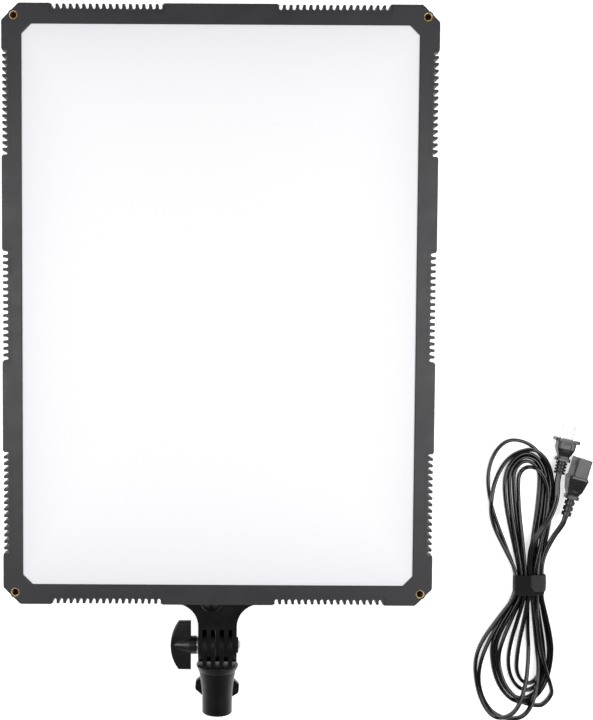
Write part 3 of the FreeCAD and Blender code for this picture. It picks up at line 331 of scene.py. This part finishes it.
def tab_edge(side, angle):
    """The hook tab is shorter than the strap is wide, and its free lower corner is cut round."""
    reach = max(0.0, TAB_CORNER - max(0.0, tie_loop(angle, 0.0)[0] - TIE_X))
    corner = TAB_CORNER - math.sqrt(TAB_CORNER ** 2 - reach ** 2)
    low = TIE_Y - TIE_HALF_Y + TAB_LOW_TRIM + corner
    high = TIE_Y + TIE_HALF_Y - TAB_HIGH_TRIM
    return low + (high - low) * 0.5 * (side + 1)


def make_tie():
    """Hook-and-loop strap round the hank's waist, with its hook tab lapped over on the right."""
    round_angles = [2 * math.pi * i / LOOP_STEPS for i in range(LOOP_STEPS)]
    loop = strap("tie_strap", round_angles, LOOP_ROWS, loop_edge, 0.0)
    first, last = TAB_ANGLES
    lap_angles = [first + (last - first) * i / TAB_STEPS for i in range(TAB_STEPS + 1)]
    tab = strap("tie_tab", lap_angles, TAB_ROWS, tab_edge, TAB_LIFT)
    for piece in (loop, tab):
        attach(piece, "root")
    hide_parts("cord_tie")
    return loop, tab


def make_camera():
    data = bpy.data.cameras.new("camera")
    data.lens = CAMERA_LENS
    data.shift_x = CAMERA_SHIFT_X
    data.clip_start, data.clip_end = CAMERA_CLIP
    camera = bpy.data.objects.new("camera", data)
    back = Vector((0, math.sin(CAMERA_TILT), math.cos(CAMERA_TILT)))
    camera.location = CAMERA_AIM + back * CAMERA_DISTANCE
    camera.rotation_mode = "XYZ"
    camera.rotation_euler = (-CAMERA_TILT, 0, CAMERA_ROLL)
    bpy.context.scene.collection.objects.link(camera)
    bpy.context.scene.camera = camera


def make_cord():
    line = route_line(cord_route())
    cable = swept("mains_cord", line, twin_section(), CORD_ROLL)
    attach(cable, "root")
    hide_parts("cord_hank", "plug_lead", "connector_lead")
    return cable


make_camera()
tie = make_tie()
cable = make_cord()


# ---- Materials. Textures run in metres over the row frame, so their scales are per metre.

def new_material(name):
    material = bpy.data.materials.new(name)
    material.use_nodes = True
    tree = material.node_tree
    return material, tree, tree.nodes["Principled BSDF"]


def place_node(tree):
    return tree.nodes.new("ShaderNodeTexCoord").outputs["Object"]


def noise(tree, scale, detail=3.0, roughness=0.55, stretch=(1, 1, 1)):
    """Noise over the object, finer along an axis with a larger stretch."""
    mapping = tree.nodes.new("ShaderNodeMapping")
    mapping.inputs["Scale"].default_value = stretch
    texture = tree.nodes.new("ShaderNodeTexNoise")
    texture.inputs["Scale"].default_value = scale
    texture.inputs["Detail"].default_value = detail
    texture.inputs["Roughness"].default_value = roughness
    tree.links.new(place_node(tree), mapping.inputs["Vector"])
    tree.links.new(mapping.outputs["Vector"], texture.inputs["Vector"])
    return texture.outputs["Fac"]


def spread(tree, value, low, high, from_low=0.3, from_high=0.7):
    """Maps a 0 to 1 texture onto a range."""
    node = tree.nodes.new("ShaderNodeMapRange")
    node.inputs["From Min"].default_value = from_low
    node.inputs["From Max"].default_value = from_high
    node.inputs["To Min"].default_value = low
    node.inputs["To Max"].default_value = high
    tree.links.new(value, node.inputs["Value"])
    return node.outputs["Result"]


def tint(tree, value, dark, light):
    node = tree.nodes.new("ShaderNodeMix")
    node.data_type = "RGBA"
    node.inputs["A"].default_value = (*dark, 1)
    node.inputs["B"].default_value = (*light, 1)
    tree.links.new(value, node.inputs["Factor"])
    return node.outputs["Result"]


def rounded(tree, radius):
    """Edges catch the light as if they were rounded by this radius."""
    bevel = tree.nodes.new("ShaderNodeBevel")
    bevel.samples = 4
    bevel.inputs["Radius"].default_value = radius
    return bevel.outputs["Normal"]


def relief(tree, height, strength, distance, normal=None):
    bump = tree.nodes.new("ShaderNodeBump")
    bump.inputs["Strength"].default_value = strength
    bump.inputs["Distance"].default_value = distance
    tree.links.new(height, bump.inputs["Height"])
    if normal is not None:
        tree.links.new(normal, bump.inputs["Normal"])
    return bump.outputs["Normal"]


PATCHES_PER_M = 18                      # slow changes of tone over plastic and rubber
GLOSS_PATCHES_PER_M = 60
METAL_PATCHES_PER_M = 40


def moulded(name, colour, roughness, grain=2600, depth=0.00003, patch=0.12, edge=0.0004,
            sheen=0.0, gloss=0.5):
    """Moulded plastic or rubber: fine grain, slow changes of tone and gloss, rounded edges."""
    material, tree, shader = new_material(name)
    slow = spread(tree, noise(tree, PATCHES_PER_M), 0, 1)
    dark = [c * (1 - patch) for c in colour]
    light = [c * (1 + patch) for c in colour]
    tree.links.new(tint(tree, slow, dark, light), shader.inputs["Base Color"])
    uneven = spread(tree, noise(tree, GLOSS_PATCHES_PER_M), roughness - 0.05, roughness + 0.06)
    tree.links.new(uneven, shader.inputs["Roughness"])
    normal = relief(tree, noise(tree, grain), 0.6, depth, rounded(tree, edge))
    tree.links.new(normal, shader.inputs["Normal"])
    shader.inputs["Sheen Weight"].default_value = sheen
    shader.inputs["Specular IOR Level"].default_value = gloss
    return material


def metal(name, colour, roughness, stretch=(1, 1, 1), scale=900, depth=0.000006, edge=0.0003):
    """Bare or plated metal with a fine lay and uneven gloss."""
    material, tree, shader = new_material(name)
    shader.inputs["Metallic"].default_value = 1
    slow = spread(tree, noise(tree, METAL_PATCHES_PER_M), 0, 1)
    dull = [c * 0.88 for c in colour]
    tree.links.new(tint(tree, slow, dull, colour), shader.inputs["Base Color"])
    fine = noise(tree, scale, stretch=stretch)
    uneven = spread(tree, fine, roughness - 0.06, roughness + 0.1)
    tree.links.new(uneven, shader.inputs["Roughness"])
    tree.links.new(relief(tree, fine, 0.5, depth, rounded(tree, edge)), shader.inputs["Normal"])
    return material


PAINTED_SHADE_RIM_FALLOFF = 6                         # power of the place from the sheet's middle to its edge
# Painted shade: the sheet's colour turns darker and bluer towards its rim, where the frame shades
# it. Its emission is a painted glow, not a lit lamp, and it is weaker at the rim.
OPAL_MIDDLE, OPAL_RIM_PAINTED_SHADE = (0.60, 0.60, 0.61), (0.55, 0.55, 0.58)
PAINTED_GLOW_MIDDLE, PAINTED_GLOW_RIM = (1.0, 0.995, 1.0), (0.93, 0.92, 1.0)
PAINTED_GLOW_STRENGTH_MIDDLE, PAINTED_GLOW_STRENGTH_RIM = 0.29, 0.22


def opal_diffuser():
    """Satin opal sheet with a painted glow that makes it bright white over the middle, and painted
    shade that makes it darker and bluer at the edges.
    """
    material, tree, shader = new_material("opal_diffuser")
    low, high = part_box("diffuser_sheet")
    centre = 0.5 * (low + high)
    half = 0.5 * (high - low)
    mapping = tree.nodes.new("ShaderNodeMapping")
    mapping.vector_type = "TEXTURE"
    mapping.inputs["Location"].default_value = centre
    mapping.inputs["Scale"].default_value = (half.x, half.y, 1)
    tree.links.new(place_node(tree), mapping.inputs["Vector"])
    split = tree.nodes.new("ShaderNodeSeparateXYZ")
    tree.links.new(mapping.outputs["Vector"], split.inputs["Vector"])
    across = power(tree, split.outputs["X"], PAINTED_SHADE_RIM_FALLOFF)
    along = power(tree, split.outputs["Y"], PAINTED_SHADE_RIM_FALLOFF)
    painted_rim_shade = tree.nodes.new("ShaderNodeMath")
    painted_rim_shade.operation = "MAXIMUM"
    tree.links.new(across, painted_rim_shade.inputs[0])
    tree.links.new(along, painted_rim_shade.inputs[1])
    edge = painted_rim_shade.outputs["Value"]
    # Painted shade at the rim: darker, bluer colour and a weaker painted glow than over the middle.
    tree.links.new(tint(tree, edge, OPAL_MIDDLE, OPAL_RIM_PAINTED_SHADE), shader.inputs["Base Color"])
    tree.links.new(tint(tree, edge, PAINTED_GLOW_MIDDLE, PAINTED_GLOW_RIM), shader.inputs["Emission Color"])
    tree.links.new(spread(tree, edge, PAINTED_GLOW_STRENGTH_MIDDLE, PAINTED_GLOW_STRENGTH_RIM, 0, 1),
                   shader.inputs["Emission Strength"])
    tree.links.new(spread(tree, noise(tree, 120), 0.42, 0.5), shader.inputs["Roughness"])
    tree.links.new(relief(tree, noise(tree, 3500), 0.4, 0.00002), shader.inputs["Normal"])
    return material


def power(tree, value, exponent):
    size = tree.nodes.new("ShaderNodeMath")
    size.operation = "ABSOLUTE"
    tree.links.new(value, size.inputs[0])
    raised = tree.nodes.new("ShaderNodeMath")
    raised.operation = "POWER"
    raised.inputs[1].default_value = exponent
    tree.links.new(size.outputs["Value"], raised.inputs[0])
    return raised.outputs["Value"]


def clear_sheet(name, colour, roughness, transmission, ior=1.49):
    material, tree, shader = new_material(name)
    shader.inputs["IOR"].default_value = ior
    shader.inputs["Transmission Weight"].default_value = transmission
    slow = spread(tree, noise(tree, 30), 0, 1)
    dull = [c * 0.96 for c in colour]
    tree.links.new(tint(tree, slow, dull, colour), shader.inputs["Base Color"])
    tree.links.new(spread(tree, noise(tree, 300), roughness, roughness + 0.05),
                   shader.inputs["Roughness"])
    return material


def circuit_board():
    """Green solder mask over faint copper tracks."""
    material, tree, shader = new_material("circuit_board")
    tracks = tree.nodes.new("ShaderNodeTexVoronoi")
    tracks.distance = "MANHATTAN"
    tracks.feature = "DISTANCE_TO_EDGE"
    tracks.inputs["Scale"].default_value = 260
    tree.links.new(place_node(tree), tracks.inputs["Vector"])
    mask = spread(tree, tracks.outputs["Distance"], 0, 1, 0.02, 0.12)
    track, ground = (0.09, 0.33, 0.14), (0.02, 0.13, 0.06)
    tree.links.new(tint(tree, mask, track, ground), shader.inputs["Base Color"])
    shader.inputs["Roughness"].default_value = 0.32
    tree.links.new(relief(tree, mask, 0.5, 0.00004, rounded(tree, 0.0002)), shader.inputs["Normal"])
    return material


def woven(name, colour, fineness=1500):
    """Hook-and-loop fabric: matted loops, with no shine."""
    material, tree, shader = new_material(name)
    loops = noise(tree, fineness, detail=6.0, roughness=0.75)
    # Painted shade in the loops' hollows and painted light on their crests: the tone follows the
    # same noise as the relief.
    hollow_painted_shade = [c * 0.45 for c in colour]
    crest_painted_light = [c * 1.7 for c in colour]
    tree.links.new(tint(tree, spread(tree, loops, 0, 1), hollow_painted_shade, crest_painted_light),
                   shader.inputs["Base Color"])
    shader.inputs["Roughness"].default_value = 0.95
    shader.inputs["Specular IOR Level"].default_value = 0.15
    shader.inputs["Sheen Weight"].default_value = 0.08
    shader.inputs["Sheen Roughness"].default_value = 0.6
    tree.links.new(relief(tree, loops, 1.0, 0.0006), shader.inputs["Normal"])
    return material


def sheath():
    """Glossy black vinyl of the cord, with faint long waves."""
    material, tree, shader = new_material("cable_sheath")
    slow = spread(tree, noise(tree, 35), 0, 1)
    tree.links.new(tint(tree, slow, (0.002, 0.002, 0.002), (0.005, 0.005, 0.005)),
                   shader.inputs["Base Color"])
    tree.links.new(spread(tree, noise(tree, 90), 0.10, 0.17), shader.inputs["Roughness"])
    tree.links.new(relief(tree, noise(tree, 260), 0.08, 0.0002), shader.inputs["Normal"])
    return material


def make_materials():
    return {
        "frame_black": moulded("frame_black", (0.018, 0.0175, 0.0205), 0.45, depth=0.00005),
        "housing_black": moulded("housing_black", (0.035, 0.035, 0.038), 0.55, grain=1700,
                                 depth=0.00008),
        "bracket_black": moulded("bracket_black", (0.003, 0.003, 0.0035), 0.32, edge=0.0013,
                                 gloss=0.28),
        "knob_black": moulded("knob_black", (0.005, 0.005, 0.0055), 0.32, edge=0.0009, gloss=0.4),
        "knob_rubber": moulded("knob_rubber", (0.022, 0.022, 0.024), 0.62, sheen=0.1),
        "panel_grey": moulded("panel_grey", (0.060, 0.060, 0.064), 0.48, grain=1500),
        "button_grey": moulded("button_grey", (0.16, 0.16, 0.17), 0.6, sheen=0.08),
        "inlet_plastic": moulded("inlet_plastic", (0.018, 0.018, 0.018), 0.4),
        "rocker_black": moulded("rocker_black", (0.014, 0.014, 0.014), 0.22, depth=0.00001),
        "opal_diffuser": opal_diffuser(),
        "clear_acrylic": clear_sheet("clear_acrylic", (0.93, 0.96, 0.97), 0.03, 0.95),
        "white_film": moulded("white_film", (0.88, 0.88, 0.88), 0.5, patch=0.02, depth=0.00001),
        "bare_aluminium": metal("bare_aluminium", (0.78, 0.78, 0.80), 0.34,
                                stretch=(1, 18, 1)),
        "circuit_board": circuit_board(),
        "led_phosphor": moulded("led_phosphor", (0.90, 0.72, 0.22), 0.3, patch=0.08,
                                edge=0.0002),
        "brass_insert": metal("brass_insert", (0.80, 0.58, 0.30), 0.28, stretch=(1, 1, 9)),
        "zinc_steel": metal("zinc_steel", (0.62, 0.62, 0.60), 0.24, scale=600),
        "black_screw": metal("black_screw", (0.07, 0.07, 0.075), 0.4, scale=700),
        "soft_rubber": moulded("soft_rubber", (0.025, 0.025, 0.025), 0.75, sheen=0.15),
        "component_dark": moulded("component_dark", (0.05, 0.05, 0.06), 0.45, patch=0.2),
        "display_glass": clear_sheet("display_glass", (0.10, 0.11, 0.12), 0.05, 0.55),
        "nickel_contact": metal("nickel_contact", (0.70, 0.69, 0.70), 0.22, stretch=(6, 1, 1),
                                scale=400),
        "cable_sheath": sheath(),
        "plug_vinyl": moulded("plug_vinyl", (0.010, 0.010, 0.0105), 0.27, grain=1800,
                              edge=0.0010),
        "tie_fabric": woven("tie_fabric", (0.006, 0.006, 0.006)),
        "tie_hooks": woven("tie_hooks", (0.035, 0.034, 0.035), 2600),
    }


def dress_nodes(materials):
    """Every CAD node takes the material of its slot in the record."""
    for subpart in frame["record"]["subparts"]:
        node = frame["nodes"][subpart["node"]]
        material = materials[subpart["material_slot"]]
        if not node.material_slots:
            node.data.materials.append(material)
        for place in node.material_slots:
            place.material = material


# ---- Floor and light

FLOOR_HALF = 6.0
FLOOR_GLOW = 0.65
SKY_HORIZON = 0.75
SKY_ZENITH = 0.03
SoftBox = namedtuple("SoftBox", "name place aim size power_watts")
SOFT_BOXES = (
    SoftBox("left_softbox", (-0.72, 0.02, 1.25), (-0.1, 0.0, 0), (0.7, 0.80), 10),
    SoftBox("right_softbox", (0.80, 0.0, 1.25), (0.2, 0.0, 0), (0.8, 0.85), 13),
)


def make_floor():
    material, tree, shader = new_material("studio_floor")
    slow = spread(tree, noise(tree, 3), 0, 1)
    tree.links.new(tint(tree, slow, (0.94, 0.94, 0.94), (0.96, 0.96, 0.96)),
                   shader.inputs["Base Color"])
    shader.inputs["Roughness"].default_value = 0.85
    shader.inputs["Emission Color"].default_value = (1, 1, 1, 1)
    shader.inputs["Emission Strength"].default_value = FLOOR_GLOW
    corners = [(x * FLOOR_HALF, y * FLOOR_HALF, 0) for x, y in ((-1, -1), (1, -1), (1, 1), (-1, 1))]
    floor = build_mesh("studio_floor", corners, [(0, 1, 2, 3)], smooth=False)
    floor.data.materials.append(material)


def make_soft_box(box):
    data = bpy.data.lights.new(box.name, "AREA")
    data.shape = "RECTANGLE"
    data.size, data.size_y = box.size
    data.energy = box.power_watts
    lamp = bpy.data.objects.new(box.name, data)
    lamp.location = box.place
    lamp.rotation_mode = "QUATERNION"
    lamp.rotation_quaternion = (Vector(box.aim) - Vector(box.place)).to_track_quat("-Z", "Y")
    bpy.context.scene.collection.objects.link(lamp)


def studio_sky():
    """Even light that is dim overhead and bright round the horizon."""
    world = bpy.data.worlds.new("studio")
    world.use_nodes = True
    tree = world.node_tree
    height = tree.nodes.new("ShaderNodeSeparateXYZ")
    direction = tree.nodes.new("ShaderNodeTexCoord").outputs["Generated"]
    tree.links.new(direction, height.inputs["Vector"])
    strength = spread(tree, height.outputs["Z"], SKY_HORIZON, SKY_ZENITH, 0.0, 1.0)
    background = tree.nodes["Background"]
    background.inputs["Color"].default_value = (1, 1, 1, 1)
    tree.links.new(strength, background.inputs["Strength"])
    bpy.context.scene.world = world


def make_light():
    studio_sky()
    for box in SOFT_BOXES:
        make_soft_box(box)
    bpy.context.scene.view_settings.view_transform = "Standard"


materials = make_materials()
dress_nodes(materials)
cable.data.materials.append(materials["cable_sheath"])
tie[0].data.materials.append(materials["tie_fabric"])
tie[1].data.materials.append(materials["tie_hooks"])
make_floor()
make_light()
